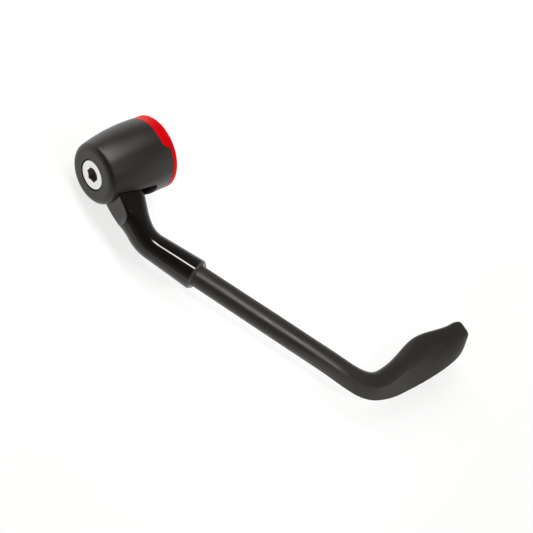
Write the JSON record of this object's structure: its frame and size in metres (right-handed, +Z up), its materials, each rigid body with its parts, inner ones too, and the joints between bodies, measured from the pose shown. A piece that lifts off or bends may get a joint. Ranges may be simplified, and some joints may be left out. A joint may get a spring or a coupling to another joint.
{
  "type": "brake lever guard",
  "caption": "Brake lever guard: barrel-shaped bar-end clamp with a coloured trim ring, a bent elbow and an arm that curves into a flat winglet in front of the lever.",
  "frame": {"origin": "on the handlebar's axis, where the end of the handlebar seats on the hub", "axes": "+X along the handlebar from its outer end towards the middle of the bike, -Y forward, +Z up"},
  "size_m": [0.141, 0.1565, 0.0326],
  "materials": {
    "satin_black_anodised": "fine turned, satin black anodised",
    "red_anodised": "red anodised, satin",
    "gloss_black_aluminium": "polished, gloss black anodised",
    "satin_black_nylon": "moulded glass-filled nylon, satin black",
    "polished_stainless": "polished stainless steel",
    "black_hub": "black anodised",
    "black_oxide_steel": "black oxide"
  },
  "bodies": {
    "root": {"bar_end_cover": "satin_black_anodised", "trim_ring": "red_anodised", "elbow": "gloss_black_aluminium", "guard_arm": "satin_black_nylon", "main_bolt": "polished_stainless", "bar_hub": "black_hub", "grub_screws": "black_oxide_steel"}
  },
  "joints": []
}
